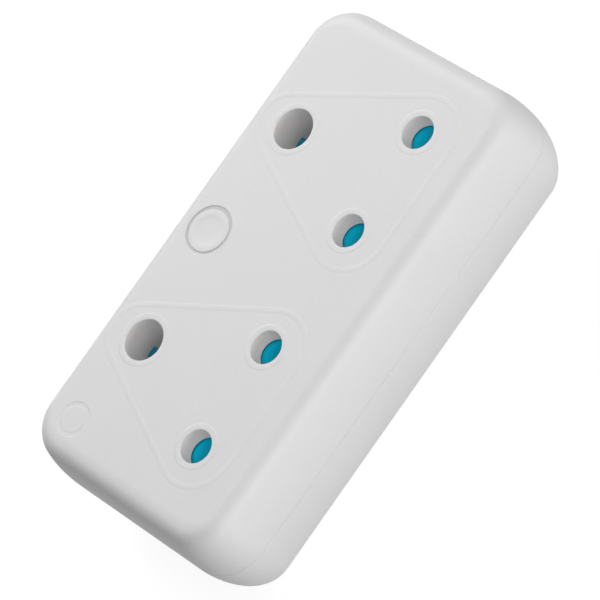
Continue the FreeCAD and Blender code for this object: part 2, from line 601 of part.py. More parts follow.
def contact_carrier(socket):
    x = SOCKET_X[socket]
    plate = block(x - CARRIER_HALF, x + CARRIER_HALF, CARRIER_LOW_Y, CARRIER_HIGH_Y,
                  PLATE_Z, PLATE_TOP)
    plate = plate.makeFillet(CARRIER_CORNER_R, upright_edges(plate, CARRIER_PLATE))
    rail_y = LINE_ROW_Y + SHUTTER_EDGE
    pieces = [plate, rod(x, EARTH_ROW_Y, EARTH_STRIP_TOP, PLATE_TOP, EARTH_WELL_OUT_R)]
    for side in (1, -1):
        near, far = sorted((x + side * RAIL_X, x + side * CARRIER_HALF))
        pieces.append(block(near, far, CARRIER_LOW_Y + CARRIER_CORNER_R, rail_y,
                            PLATE_Z, SHUTTER_TOP))
    pieces.append(block(x - CHANNEL_HALF - CARRIER_END_WALL, x + CHANNEL_HALF + CARRIER_END_WALL,
                        CARRIER_LOW_Y, CHANNEL_END_Y, PLATE_Z, SHUTTER_TOP))
    cuts = [rod(x, EARTH_ROW_Y, EARTH_STRIP_TOP - PAST, PLATE_TOP + PAST, EARTH_WELL_R)]
    cuts.append(block(x - CHANNEL_HALF, x + CHANNEL_HALF, CHANNEL_END_Y, EARTH_ROW_Y,
                      CAM_Z - SIDE_GAP, PLATE_TOP + PAST))
    for hole_x, hole_y in line_places(socket):
        pieces.append(rod(hole_x, hole_y, LINE_STRIP_TOP, PLATE_TOP, LINE_WELL_OUT_R))
        cuts.append(rod(hole_x, hole_y, LINE_STRIP_TOP - PAST, PLATE_Z, LINE_WELL_R))
        cuts.append(rod(hole_x, hole_y, PLATE_Z - PAST, PLATE_TOP + PAST, LINE_HOLE_R + SLIDE_GAP))
    peg = rod_along_y(x, CARRIER_LOW_Y, CHANNEL_END_Y + SPRING_PEG_LENGTH, SPRING_Z, SPRING_PEG_R)
    return join([join(pieces).cut(cuts), peg])


def sleeve(x, y, strip_z, top, bore_r):
    """Split contact tube whose lower end is riveted through its strip."""
    outer_r = bore_r + SLEEVE_WALL
    spigot_r = outer_r - SLEEVE_SPIGOT_STEP
    strip_top = strip_z + STRIP_THICKNESS
    tube = lathe([(bore_r, strip_z), (spigot_r, strip_z), (spigot_r, strip_top),
                  (outer_r, strip_top), (outer_r, top), (bore_r + SLEEVE_LEAD_IN, top),
                  (bore_r, top - SLEEVE_LEAD_IN)], x, y)
    slot = block(x - outer_r - PAST, x + outer_r + PAST, y - SLEEVE_SLOT / 2, y + SLEEVE_SLOT / 2,
                 strip_top + SLEEVE_SLOT_FOOT, top + PAST)
    return tube.cut(slot)


def sleeve_clip(x, y, sleeve_r, sleeve_top):
    """Open spring ring that squeezes a sleeve on to its pin."""
    top = sleeve_top - CLIP_DROP
    inner_r = sleeve_r + THREAD_GAP
    ring = rod(x, y, top - CLIP_HEIGHT, top, inner_r + CLIP_THICKNESS)
    mouth = block(x - CLIP_MOUTH / 2, x + CLIP_MOUTH / 2, y, y + inner_r + CLIP_THICKNESS + PAST,
                  top - CLIP_HEIGHT - PAST, top + PAST)
    return ring.cut([rod(x, y, top - CLIP_HEIGHT - PAST, top + PAST, inner_r), mouth])


def line_strip(bar_y, places, first_x, last_x, branch):
    """Flat strip with a bar, a tab to each of its sleeves and any branch."""
    z0, z1 = LINE_STRIP_Z, LINE_STRIP_TOP
    pieces = [block(first_x, last_x, bar_y - STRIP_WIDTH / 2, bar_y + STRIP_WIDTH / 2, z0, z1)]
    holes = []
    for x, y in places:
        low, high = sorted((bar_y, y))
        pieces.append(block(x - TAB_WIDTH / 2, x + TAB_WIDTH / 2, low, high, z0, z1))
        pieces.append(rod(x, y, z0, z1, TAB_END_R))
        spigot_r = LINE_SLEEVE_R - SLEEVE_SPIGOT_STEP
        holes.append(rod(x, y, z0 - PAST, z1 + PAST, spigot_r + THREAD_GAP))
    return join(pieces + branch).cut(holes)


def live_strip():
    places = [line_places(socket)[0] for socket in (0, 1)]
    first_x = min(x for x, y in places) - TAB_WIDTH / 2
    last_x = max(x for x, y in places) + TAB_WIDTH / 2
    load_x = LIVE_TERMINAL_X + CUTOUT_TAB_SPACING
    branch = block(load_x - CUTOUT_TAB_WIDTH / 2, load_x + CUTOUT_TAB_WIDTH / 2,
                   LIVE_BAR_Y, CUTOUT_FRONT_Y - SIDE_GAP, LINE_STRIP_Z, LINE_STRIP_TOP)
    return line_strip(LIVE_BAR_Y, places, first_x, last_x, [branch])


def neutral_strip():
    places = [line_places(socket)[1] for socket in (0, 1)]
    first_x = min(x for x, y in places) - TAB_WIDTH / 2
    last_x = max(x for x, y in places) + TAB_WIDTH / 2
    foot = rod(BRANCH_X, NEUTRAL_BAR_Y, LINE_STRIP_Z, LINE_STRIP_TOP, TERMINAL_SIZE / 2)
    return line_strip(NEUTRAL_BAR_Y, places, first_x, last_x, [foot])


def earth_strip():
    z0, z1 = EARTH_STRIP_Z, EARTH_STRIP_TOP
    half = EARTH_BAR_WIDTH / 2
    pieces = [block(SOCKET_X[1], SOCKET_X[0], EARTH_ROW_Y - half, EARTH_ROW_Y + half, z0, z1)]
    pieces.append(block(BRANCH_X - half, BRANCH_X + half, EARTH_TERMINAL_Y, EARTH_ROW_Y, z0, z1))
    pieces.append(rod(BRANCH_X, EARTH_TERMINAL_Y, z0, z1, TERMINAL_SIZE / 2))
    holes = []
    for x in SOCKET_X:
        spigot_r = EARTH_SLEEVE_R - SLEEVE_SPIGOT_STEP
        pieces.append(rod(x, EARTH_ROW_Y, z0, z1, EARTH_WELL_OUT_R))
        holes.append(rod(x, EARTH_ROW_Y, z0 - PAST, z1 + PAST, spigot_r + THREAD_GAP))
    return join(pieces).cut(holes)


def terminal(x, y, z):
    """Brass pillar with a cross hole for the wire and a tapped hole for its screw."""
    half = TERMINAL_SIZE / 2
    top = z + TERMINAL_HEIGHT
    wire_z = z + TERMINAL_WIRE_Z
    pillar = block(x - half, x + half, y - half, y + half, z, top)
    wire = rod_along_x(x - half - PAST, x + half + PAST, y, wire_z, TERMINAL_WIRE_R)
    return pillar.cut([wire, rod(x, y, wire_z, top + PAST, TERMINAL_SCREW_R + THREAD_GAP)])


def terminal_screw(x, y, z):
    seat = z + TERMINAL_HEIGHT
    depth = TERMINAL_HEIGHT - TERMINAL_WIRE_Z
    return slotted_screw(x, y, seat, TERMINAL_SCREW_R, TERMINAL_HEAD_R, TERMINAL_HEAD_HEIGHT, depth)


def thermal_cutout():
    half = CUTOUT_LENGTH / 2
    body = block(BUTTON_X - half, BUTTON_X + half, CUTOUT_FRONT_Y, CUTOUT_FRONT_Y + CUTOUT_WIDTH,
                 CUTOUT_Z, CUTOUT_TOP_Z)
    body = body.makeChamfer(CUTOUT_BEVEL, edges_at(body, CUTOUT_TOP_Z))
    return body.cut(rod(BUTTON_X, BUTTON_Y, CUTOUT_TOP_Z - CUTOUT_WELL, CUTOUT_TOP_Z + PAST,
                        BUTTON_STEM_R + SIDE_GAP))


def cutout_tab(x, reach):
    """Flat tab that leaves the front of the cut-out."""
    half = CUTOUT_TAB_WIDTH / 2
    return block(x - half, x + half, CUTOUT_FRONT_Y - reach, CUTOUT_FRONT_Y, LINE_STRIP_TOP, TAB_TOP)


def reset_button():
    cap = rod(BUTTON_X, BUTTON_Y, FLANGE_TOP, HEIGHT, BUTTON_R)
    cap = cap.makeFillet(BUTTON_EDGE_R, edges_at(cap, HEIGHT))
    flange = rod(BUTTON_X, BUTTON_Y, FLANGE_Z, FLANGE_TOP, FLANGE_R)
    stem = rod(BUTTON_X, BUTTON_Y, FLANGE_Z - BUTTON_STEM_LENGTH, FLANGE_Z, BUTTON_STEM_R)
    ball_r = (BUTTON_DISH_R ** 2 + BUTTON_DISH_DEPTH ** 2) / (2 * BUTTON_DISH_DEPTH)
    dish = Part.makeSphere(ball_r, vector(BUTTON_X, BUTTON_Y, HEIGHT + ball_r - BUTTON_DISH_DEPTH))
    return join([cap, flange, stem]).cut(dish)


def reset_spring():
    start = vector(BUTTON_X, BUTTON_Y, CUTOUT_TOP_Z + THREAD_GAP)
    end = vector(BUTTON_X, BUTTON_Y, FLANGE_Z - THREAD_GAP)
    return coil(start, end, RESET_SPRING_R, RESET_SPRING_WIRE, RESET_SPRING_TURNS)


def inlet_bush():
    tube = rod_along_x(INLET_BOSS_IN_X, INLET_BOSS_OUT_X, 0, INLET_Z, BUSH_R)
    flange = rod_along_x(BUSH_IN_X, INLET_BOSS_IN_X, 0, INLET_Z, BUSH_FLANGE_R)
    bore = rod_along_x(BUSH_IN_X - PAST, INLET_BOSS_OUT_X + PAST, 0, INLET_Z, BUSH_BORE_R)
    return join([tube, flange]).cut(bore)


def cord_clamp():
    half = CLAMP_LENGTH / 2
    bar = block(CLAMP_X - half, CLAMP_X + half, -CLAMP_HALF_WIDTH, CLAMP_HALF_WIDTH,
                CLAMP_Z, CLAMP_Z + CLAMP_THICKNESS)
    cuts = [rod_along_x(CLAMP_X - half - PAST, CLAMP_X + half + PAST, 0, INLET_Z, CORD_D / 2)]
    for x, y in CLAMP_SCREW_PLACES:
        cuts.append(rod(x, y, CLAMP_Z - PAST, CLAMP_Z + CLAMP_THICKNESS + PAST,
                        CLAMP_SCREW_R + SIDE_GAP))
    return bar.cut(cuts)


def clamp_screw(x, y):
    seat = CLAMP_Z + CLAMP_THICKNESS
    depth = CLAMP_THICKNESS + CLAMP_SCREW_DEPTH - PAST
    return slotted_screw(x, y, seat, CLAMP_SCREW_R, CLAMP_POST_R, TERMINAL_HEAD_HEIGHT, depth)


def case_screw(x, y):
    head_z = SCREW_SEAT_Z - SCREW_HEAD_HEIGHT
    body = join([rod(x, y, head_z, SCREW_SEAT_Z, SCREW_HEAD_R),
                 rod(x, y, SCREW_SEAT_Z, SCREW_SEAT_Z + SCREW_LENGTH, SCREW_R)])
    arm = SCREW_HEAD_R * 0.6
    half = SCREW_CROSS / 2
    low = head_z - PAST
    high = head_z + SCREW_CROSS_DEPTH
    return body.cut([block(x - arm, x + arm, y - half, y + half, low, high),
                     block(x - half, x + half, y - arm, y + arm, low, high)])


def build():
    """Every piece by its name."""
    pieces = {
        "front_shell": front_shell(),
        "rear_shell": rear_shell(),
        "live_strip": live_strip(),
        "neutral_strip": neutral_strip(),
        "earth_strip": earth_strip(),
        "thermal_cutout": thermal_cutout(),
        "cutout_supply_tab": cutout_tab(LIVE_TERMINAL_X, LIVE_TERMINAL_REACH + TERMINAL_SIZE / 2),
        "cutout_load_tab": cutout_tab(LIVE_TERMINAL_X + CUTOUT_TAB_SPACING, CUTOUT_TAB_REACH),
        "reset_button": reset_button(),
        "reset_spring": reset_spring(),
        "inlet_bush": inlet_bush(),
        "cord_clamp": cord_clamp(),
        "clamp_screws": Part.Compound([clamp_screw(x, y) for x, y in CLAMP_SCREW_PLACES]),
        "case_screws": Part.Compound([case_screw(x, y) for x, y in SCREW_PLACES]),
        "terminal_screws": Part.Compound([terminal_screw(*place)
                                          for place in TERMINAL_PLACES.values()]),
    }
    for name, place in TERMINAL_PLACES.items():
        pieces[name] = terminal(*place)
    line_clips = []
    earth_clips = []
    for socket, x in enumerate(SOCKET_X):
        number = socket + 1
        pieces[f"shutter_{number}"] = shutter(socket)
        pieces[f"shutter_spring_{number}"] = shutter_spring(socket)
        pieces[f"contact_carrier_{number}"] = contact_carrier(socket)
        pieces[f"earth_sleeve_{number}"] = sleeve(x, EARTH_ROW_Y, EARTH_STRIP_Z,
                                                  EARTH_SLEEVE_TOP, EARTH_BORE_R)
        earth_clips.append(sleeve_clip(x, EARTH_ROW_Y, EARTH_SLEEVE_R, EARTH_SLEEVE_TOP))
        for name, (hole_x, hole_y) in zip(("live", "neutral"), line_places(socket)):
            pieces[f"{name}_sleeve_{number}"] = sleeve(hole_x, hole_y, LINE_STRIP_Z,
                                                       LINE_SLEEVE_TOP, LINE_BORE_R)
            line_clips.append(sleeve_clip(hole_x, hole_y, LINE_SLEEVE_R, LINE_SLEEVE_TOP))
    pieces["line_sleeve_clips"] = Part.Compound(line_clips)
    pieces["earth_sleeve_clips"] = Part.Compound(earth_clips)
    return pieces


os.makedirs("parts", exist_ok=True)
for name, shape in build().items():
    shape.exportStep(f"parts/{name}.step")
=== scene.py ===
import json
import math

import bmesh
import bpy
from mathutils import Matrix, Vector
from mathutils.geometry import delaunay_2d_cdt


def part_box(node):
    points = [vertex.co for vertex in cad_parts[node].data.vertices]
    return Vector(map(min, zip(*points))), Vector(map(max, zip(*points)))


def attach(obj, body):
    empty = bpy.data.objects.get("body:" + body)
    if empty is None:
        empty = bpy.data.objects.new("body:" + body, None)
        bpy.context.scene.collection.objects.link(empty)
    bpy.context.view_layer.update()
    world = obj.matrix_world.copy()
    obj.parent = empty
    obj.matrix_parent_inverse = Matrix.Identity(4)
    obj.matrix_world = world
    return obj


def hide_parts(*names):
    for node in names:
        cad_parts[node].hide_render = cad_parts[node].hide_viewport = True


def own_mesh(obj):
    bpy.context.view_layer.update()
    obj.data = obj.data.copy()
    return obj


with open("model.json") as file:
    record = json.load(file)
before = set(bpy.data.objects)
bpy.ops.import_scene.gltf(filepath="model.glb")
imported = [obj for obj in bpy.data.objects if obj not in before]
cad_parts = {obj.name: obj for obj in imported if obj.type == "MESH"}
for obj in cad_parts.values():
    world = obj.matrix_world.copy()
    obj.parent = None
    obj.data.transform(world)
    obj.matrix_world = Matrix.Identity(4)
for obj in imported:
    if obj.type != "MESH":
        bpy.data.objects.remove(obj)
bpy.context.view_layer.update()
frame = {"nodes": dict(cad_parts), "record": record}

# Sizes in millimetres, as in the part's source
MM = 0.001
PAST = 1.0

# Housing
FACE_LENGTH = 115.0
FACE_WIDTH = 57.5
HEIGHT = 33.0
PARTING_Z = 17.8
SIDE_FLARE = 2.25
CORNER_R = 8.6
MIN_CORNER_R = 0.5
FACE_EDGE_R = 2.4
SIDE_WALL = 2.2
CEILING_Z = 30.6
REAR_WALL = 2.2
FRONT_BOW = 2.35
REAR_DRAW = 9.26
REAR_BOW = 1.69
REAR_BASE_BOW = 2.46

# Edge at the short ends: a soft start, then a tighter turn
END_SOFT_R = 10.0
END_SOFT_TURN = math.radians(10.5)
END_EDGE_R = 2.6
END_SOFT_DROP = END_SOFT_R * (1 - math.cos(END_SOFT_TURN))
END_SOFT_REACH = END_SOFT_R * math.sin(END_SOFT_TURN)
END_DROP = END_SOFT_DROP + END_EDGE_R * math.cos(END_SOFT_TURN)
END_REACH = END_SOFT_REACH + END_EDGE_R * (1 - math.sin(END_SOFT_TURN))

# Seam between the mouldings: its lip as growth from its floor and distance from the parting plane
SEAM_DEPTH = 0.13
FRONT_SEAM_HEIGHT = 0.26
REAR_SEAM_HEIGHT = 0.16
SEAM_LIP = ((0.06, 0.07), (0.0, 0.02), (-0.1, 0.01))
SEAM_GAP = 0.01
REBATE_WIDTH = 1.05
REBATE_DEPTH = 1.75
TONGUE_GAP = 0.15
REBATE_WALL = 0.25

# Drops below the face and heights above the base at which the walls are drawn
FACE_GUARD = 0.1
FRONT_DROPS = (0.0, 0.003, 0.012, 0.03, 0.06, 0.10, 0.15, 0.22, 0.32, 0.46, 0.64, 0.86, 1.12, 1.42,
               1.75, 2.05, 2.4, 2.73, 3.6, 4.6, 5.8, 7.2, 8.8, 10.6, 12.6)
REAR_HEIGHTS = (0.0, 0.005, 0.02, 0.05, 0.1, 0.18, 0.3, 0.45, 0.65, 0.9, 1.2, 1.6, 2.1, 2.7, 3.4, 4.2,
                5.1, 6.1, 7.3, 8.7, 10.3, 12.0, 13.8, 15.6)
REAR_INNER_HEIGHTS = (PARTING_Z, 14.0, 11.0, 9.0, 7.3, 6.0, 5.0, 4.2, 3.5, 3.0, 2.6, 2.35, REAR_WALL)

# Sockets
SOCKET_X = (28.7, -26.7)
EARTH_Y = 16.7
LINE_Y = -11.9
LINE_HALF = 12.7
EARTH_R = 4.8
LINE_R = 3.8
COLLAR = 1.4
EMBOSS = 0.045
RIM_R = 0.2
BOSS_Z = 28.3
LINE_WALL_Z = 28.5
LINE_GAP_Z = 28.15
LINE_FOOT_GROWTH = 0.02
TUBE_Z = 21.0
TUBE_OUT_R = 6.5
TUBE_FLARE = 0.25
# Collar's slope as reach beyond its radius and share of its height
COLLAR_SLOPE = ((0.32, 0.0), (0.20, 0.0), (0.10, 0.10), (0.0, 0.50), (-0.10, 0.90), (-0.20, 1.0))

# Triangle mark round a socket
PAD_EARTH_R = 7.8
PAD_LINE_R = 10.0
PAD_REACH = 10.7
PAD_HALF = 22.2
RIDGE_WIDTH = 1.5
RIDGE_HEIGHT = 0.038
RIDGE_FULLNESS = 0.4
RIDGE_ROOT = 0.3

# Button and its groove, its edge as reach beyond its radius and depth
BUTTON_X = 0.5
BUTTON_Y = 19.7
BUTTON_R = 5.10
BUTTON_HOLE_R = 5.13
BUTTON_WELL_R = 6.9
BUTTON_WELL_Z = 28.6
BUTTON_EDGE_R = 0.16
BUTTON_DISH = ((0.9, 0.14), (2.0, 0.135), (2.7, 0.12), (3.1, 0.095), (3.4, 0.06), (3.7, 0.028),
               (4.0, 0.01))
GROOVE_R = 5.78
GROOVE_SHIFT = 0.12
GROOVE_DEPTH = 0.15
GROOVE_EDGE = ((0.22, 0.0), (0.10, 0.0), (0.04, 0.01), (0.0, 0.04), (-0.03, 0.11), (-0.08, 0.14),
               (-0.16, GROOVE_DEPTH))
FLANGE_R = 6.4
FLANGE_TOP_Z = 28.4
FLANGE_FOOT_Z = 26.8
FLANGE_EDGE = 0.05
STEM_R = 2.0
STEM_FOOT_Z = 20.5
STEM_EDGE = 0.2

# Corner mark, its profile as radius and share of its depth
MARK_X = -49.1
MARK_Y = 19.9
MARK_R = 4.05
MARK_DISC_R = 3.05
MARK_DEPTH = 0.04
MARK_PROFILE = ((MARK_R + 0.16, 0.0), (MARK_R + 0.04, 0.0), (MARK_R, 0.3), (MARK_R - 0.05, 1.0),
                (MARK_R - 0.20, 1.0), (MARK_DISC_R + 0.20, 1.0), (MARK_DISC_R + 0.05, 1.0),
                (MARK_DISC_R, 0.7), (MARK_DISC_R - 0.08, 0.4), (MARK_DISC_R - 0.25, 0.3))

# Posts and screw holes
SCREW_X = 51.5
SCREW_Y = 20.5
SCREW_POST_R = 3.4
SCREW_RECESS_R = 3.4
SCREW_SEAT_Z = 5.0
SCREW_HOLE_R = 1.85
SCREW_BOSS_R = 4.9
SCREW_BOSS_FOOT_Z = 1.1
SCREW_BOSS_TOP_Z = 7.2
SCREW_BOSS_EDGE = 0.05
SCREW_POST_GAP = 0.2
GUIDE_POST_X = 15.5
GUIDE_POST_Y = (20.5, 1.0)
GUIDE_POST_R = 2.0
GUIDE_POST_Z = 26.2

# Cord inlet and its bush, the bush's profile as radius and place along X
INLET_Z = 10.6
INLET_BOSS_R = 7.1
INLET_BORE_R = 5.92
INLET_ROOT_X = 55.0
INLET_OUT_X = 59.6
INLET_EDGE_R = 0.5
INLET_CUT_X = (50.0, 62.0)
BUSH_BODY = ((4.7, 53.8), (6.6, 53.8), (6.7, 53.9), (6.7, 54.9), (6.6, 55.0), (5.9, 55.0), (5.9, 59.2))
BUSH_LIP_X = 59.25
BUSH_LIP_OUT_R = 5.55
BUSH_LIP_IN_R = 5.05
BUSH_LIP_EDGE_R = 0.35

# Springs: turns and wire
SHUTTER_SPRING_TURNS = 13
SHUTTER_SPRING_WIRE = 0.4
RESET_SPRING_TURNS = 4
RESET_SPRING_WIRE = 0.6

# Steps of the meshes
RING_POINTS = 96
TURNED_POINTS = 64
POST_POINTS = 32
CORNER_STEPS = 20
PAD_ARC_STEPS = 24
PAD_SIDE_STEPS = 12
RIDGE_STEPS = 12
RIM_STEPS = 6
LIP_STEPS = 5
COIL_STEPS = 24
WIRE_SIDES = 8
EARTH_SLOT = range(64, 76)
SHARP_ANGLE = 35.0
BUTTON_SHARP_ANGLE = 40.0
NORMAL_WEIGHT = 80
FILL_TOLERANCE = 1e-6

# Material slots of the front moulding, the ones past the shell's own holding painted shade, and how
# near a face lies to the surface it is part of
SHELL_SLOT = 0
LINE_BORE_SLOT = 1
GAP_SHADE_SLOT = 2
EARTH_BORE_SLOT = 3
SHADE_SLOT = 4
NEAR = 0.1
GROOVE_LIP = 0.03

# Finishes: the part of a noise's range that counts, the noises, and how far roughness swings
NOISE_RANGE = (0.3, 0.7)
MOTTLE_SCALE = 55.0
MOTTLE_DETAIL = 3.0
GRAIN_DETAIL = 2.0
GRAIN_SHARE = 0.78
STREAK_DETAIL = 4.0
FINE_ROUGHNESS = 0.6
PLASTIC_SWING = 0.05
METAL_SWING = 0.08
METAL_DARK = 0.86
MIX_NUMBERS = (2, 3)
MIX_COLOURS = (6, 7)
MIX_COLOUR_RESULT = 2

# Stage in metres and watts; a soft box has a turn from +X and a height in degrees, then its power
FLOOR_HALF = 4.0
FLOOR_Z = -0.1 * MM
FLOOR_BOUNCE = (0.45, 0.45, 0.45, 1)
FLOOR_SHOWN = (0.9, 0.9, 0.9, 1)
FLOOR_GLOW = 1.12
FLOOR_SHADED_SHARE = 0.20
LIGHT_SIZE = (0.7, 0.5)
SOFT_BOXES = ((-135, 50, 0.8), (-45, 50, 1.4), (-60, 8, 1.9), (-90, 4, 5.3), (-90, 40, 2.8),
              (0, 90, 0.5), (70, 35, 8.7))
CAMERA_SENSOR = 36.0
CAMERA_LENS = 264.309
CAMERA_PLACE = ((0.57531163, 0.81493116, -0.07002664, -0.06642699),
                (-0.65968492, 0.41168495, -0.62875378, -0.59263745),
                (-0.48356213, 0.40792488, 0.77444494, 0.74811274),
                (0, 0, 0, 1))


# Mesh helpers
def ring(cx, cy, radius, z, count=RING_POINTS):
    points = []
    for step in range(count):
        angle = 2 * math.pi * step / count
        points.append(Vector((cx + radius * math.cos(angle), cy + radius * math.sin(angle), z)))
    return points


def arc(centre_r, centre_z, radius, start, end, steps):
    """Points of an arc as radius and height, between two angles in degrees."""
    points = []
    for step in range(steps + 1):
        angle = math.radians(start + (end - start) * step / steps)
        points.append((centre_r + radius * math.cos(angle), centre_z + radius * math.sin(angle)))
    return points


def outline(side, z, end=None):
    """Rounded rectangle of the face, grown by side in Y and by end in X."""
    end = side if end is None else end
    radius_x = max(CORNER_R + end, MIN_CORNER_R)
    radius_y = max(CORNER_R + side, MIN_CORNER_R)
    half_x = FACE_LENGTH / 2 + end - radius_x
    half_y = FACE_WIDTH / 2 + side - radius_y
    points = []
    for turn, (sx, sy) in enumerate(((1, 1), (-1, 1), (-1, -1), (1, -1))):
        for step in range(CORNER_STEPS + 1):
            angle = math.pi / 2 * (turn + step / CORNER_STEPS)
            points.append(Vector((sx * half_x + radius_x * math.cos(angle),
                                  sy * half_y + radius_y * math.sin(angle), z)))
    return points


def add_loop(bm, points):
    return [bm.verts.new(p * MM) for p in points]


def bridge(bm, low, high, skip=()):
    count = len(low)
    for i in range(count):
        if i not in skip:
            j = (i + 1) % count
            bm.faces.new((low[i], low[j], high[j], high[i]))


def strip(bm, loops):
    made = [add_loop(bm, points) for points in loops]
    for low, high in zip(made, made[1:]):
        bridge(bm, low, high)
    return made


def inside(polygon, point):
    hit = False
    for a, b in zip(polygon, polygon[1:] + polygon[:1]):
        if (a.y > point.y) != (b.y > point.y):
            if point.x < (b.x - a.x) * (point.y - a.y) / (b.y - a.y) + a.x:
                hit = not hit
    return hit


def fill_flat(bm, outer, holes):
    """Flat region between an outer loop and the loops of its holes."""
    loops = [outer] + holes
    verts = [v for loop in loops for v in loop]
    coords = [v.co.xy.copy() / MM for v in verts]
    edges = []
    hole_of = {}
    start = 0
    for number, loop in enumerate(loops):
        for i in range(len(loop)):
            edges.append((start + i, start + (i + 1) % len(loop)))
            if number:
                hole_of[start + i] = number
        start += len(loop)
    result = delaunay_2d_cdt(coords, edges, [], 0, FILL_TOLERANCE)
    points, triangles = result[0], result[2]
    assert len(points) == len(verts)
    boundary = [v.co.xy / MM for v in outer]
    for triangle in triangles:
        owners = {hole_of.get(i) for i in triangle}
        if len(owners) == 1 and None not in owners:
            continue
        middle = sum((points[i] for i in triangle), Vector((0, 0))) / 3
        if inside(boundary, middle):
            bm.faces.new([verts[i] for i in triangle])


def closed_loft(rows):
    bm = bmesh.new()
    made = strip(bm, rows)
    bm.faces.new(made[0][::-1])
    bm.faces.new(made[-1])
    bmesh.ops.recalc_face_normals(bm, faces=bm.faces)
    return bm


def turned_loops(axis, rows, centre, count):
    """Loops turned about an upright line, or about a line along X; rows are radius and place."""
    loops = []
    for radius, along in rows:
        points = ring(0, 0, radius, along, count)
        loops.append([centre + (p if axis == "z" else Vector((p.z, p.x, p.y))) for p in points])
    return loops


def make_object(bm, name):
    mesh = bpy.data.meshes.new(name)
    bm.to_mesh(mesh)
    bm.free()
    obj = bpy.data.objects.new(name, mesh)
    bpy.context.scene.collection.objects.link(obj)
    return obj


def turned_solid(axis, rows, centre, count=TURNED_POINTS):
    return make_object(closed_loft(turned_loops(axis, rows, centre, count)), "solid")


def finish_mesh(bm, name, angle=SHARP_ANGLE):
    """Object with smooth faces, sharp edges where they turn by more than an angle in degrees."""
    bmesh.ops.recalc_face_normals(bm, faces=bm.faces)
    obj = make_object(bm, name)
    obj.data.shade_smooth()
    obj.data.set_sharp_from_angle(angle=math.radians(angle))
    weighted = obj.modifiers.new("normals", "WEIGHTED_NORMAL")
    weighted.keep_sharp = True
    weighted.weight = NORMAL_WEIGHT
    return obj


def combine(obj, tools, operation):
    """Exact boolean of a closed solid with others, worked out once and kept as its mesh."""
    for tool in tools:
        step = obj.modifiers.new("combine", "BOOLEAN")
        step.operation = operation
        step.solver = "EXACT"
        step.object = tool
        depsgraph = bpy.context.evaluated_depsgraph_get()
        result = bpy.data.meshes.new_from_object(obj.evaluated_get(depsgraph))
        obj.modifiers.remove(step)
        obj.data = result
    return obj


def add_post(bm, cx, cy, radius, foot_z):
    """Round post that reaches from a height up into the ceiling."""
    low, high = strip(bm, [ring(cx, cy, radius, z, POST_POINTS) for z in (foot_z, CEILING_Z + PAST)])
    bm.faces.new(low[::-1])
    bm.faces.new(high)


# Walls of the housing
def wall_grow(drop):
    """How far the bowed front wall stands out at a drop below the face."""
    return SIDE_FLARE * (1 - (1 - drop / (HEIGHT - PARTING_Z)) ** FRONT_BOW)


def side_grow(drop):
    """Growth to the sides, with the rounded edge of the face."""
    if drop >= FACE_EDGE_R:
        return wall_grow(drop)
    return wall_grow(drop) - FACE_EDGE_R + math.sqrt(FACE_EDGE_R ** 2 - (FACE_EDGE_R - drop) ** 2)


def end_grow(drop):
    """Growth to the ends, where the edge starts softly and then turns down."""
    if drop >= END_DROP:
        return wall_grow(drop)
    if drop <= END_SOFT_DROP:
        reach = END_SOFT_R * math.sin(math.acos(1 - drop / END_SOFT_R))
    else:
        angle = math.acos(max(math.cos(END_SOFT_TURN) - (drop - END_SOFT_DROP) / END_EDGE_R, 0.0))
        reach = END_SOFT_REACH + END_EDGE_R * (math.sin(angle) - math.sin(END_SOFT_TURN))
    return wall_grow(drop) - END_REACH + reach


def rear_grow(z):
    """Growth of the rear outline at a height: a wall that bows in towards the base."""
    depth = min(max((PARTING_Z - z) / PARTING_Z, 0.0), 1.0)
    return SIDE_FLARE - REAR_DRAW * (1 - (1 - depth ** REAR_BOW) ** (1 / REAR_BASE_BOW))


def face_height(y):
    """Height of the face, with its rounded edge along the sides."""
    reach = abs(y) - FACE_WIDTH / 2 + FACE_EDGE_R
    if reach <= 0:
        return HEIGHT
    return HEIGHT - FACE_EDGE_R + math.sqrt(FACE_EDGE_R ** 2 - reach ** 2)


# Front moulding
def pad_loop(x, inset):
    """Rounded triangle round a socket, moved inwards."""
    earth_r = PAD_EARTH_R - inset
    line_r = PAD_LINE_R - inset
    earth_c = Vector((0, EARTH_Y + PAD_REACH - PAD_EARTH_R))
    right_c = Vector((PAD_HALF - PAD_LINE_R, LINE_Y - PAD_REACH + PAD_LINE_R))
    left_c = Vector((-right_c.x, right_c.y))
    span = right_c - earth_c
    tilt = math.atan2(span.y, span.x) + math.acos((PAD_EARTH_R - PAD_LINE_R) / span.length)
    corners = ((right_c, line_r, -math.pi / 2, tilt), (earth_c, earth_r, tilt, math.pi - tilt),
               (left_c, line_r, math.pi - tilt, 3 * math.pi / 2))
    turns = []
    for centre, radius, start, end in corners:
        turn = []
        for step in range(PAD_ARC_STEPS + 1):
            angle = start + (end - start) * step / PAD_ARC_STEPS
            turn.append(Vector((x + centre.x + radius * math.cos(angle),
                                centre.y + radius * math.sin(angle))))
        turns.append(turn)
    points = []
    for turn, following in zip(turns, turns[1:] + turns[:1]):
        points += turn
        for step in range(1, PAD_SIDE_STEPS):
            points.append(turn[-1].lerp(following[0], step / PAD_SIDE_STEPS))
    return points


def add_ridge(bm, x):
    """Low rounded ridge that follows the triangle mark."""
    rows = [(0.0, -RIDGE_ROOT)]
    for step in range(RIDGE_STEPS + 1):
        swell = (1 - math.cos(2 * math.pi * step / RIDGE_STEPS)) / 2
        rows.append((RIDGE_WIDTH * step / RIDGE_STEPS, RIDGE_HEIGHT * swell ** RIDGE_FULLNESS))
    rows.append((RIDGE_WIDTH, -RIDGE_ROOT))
    loops = []
    for inset, height in rows:
        loops.append([Vector((p.x, p.y, face_height(p.y) + height)) for p in pad_loop(x, inset)])
    made = strip(bm, loops)
    bridge(bm, made[-1], made[0])


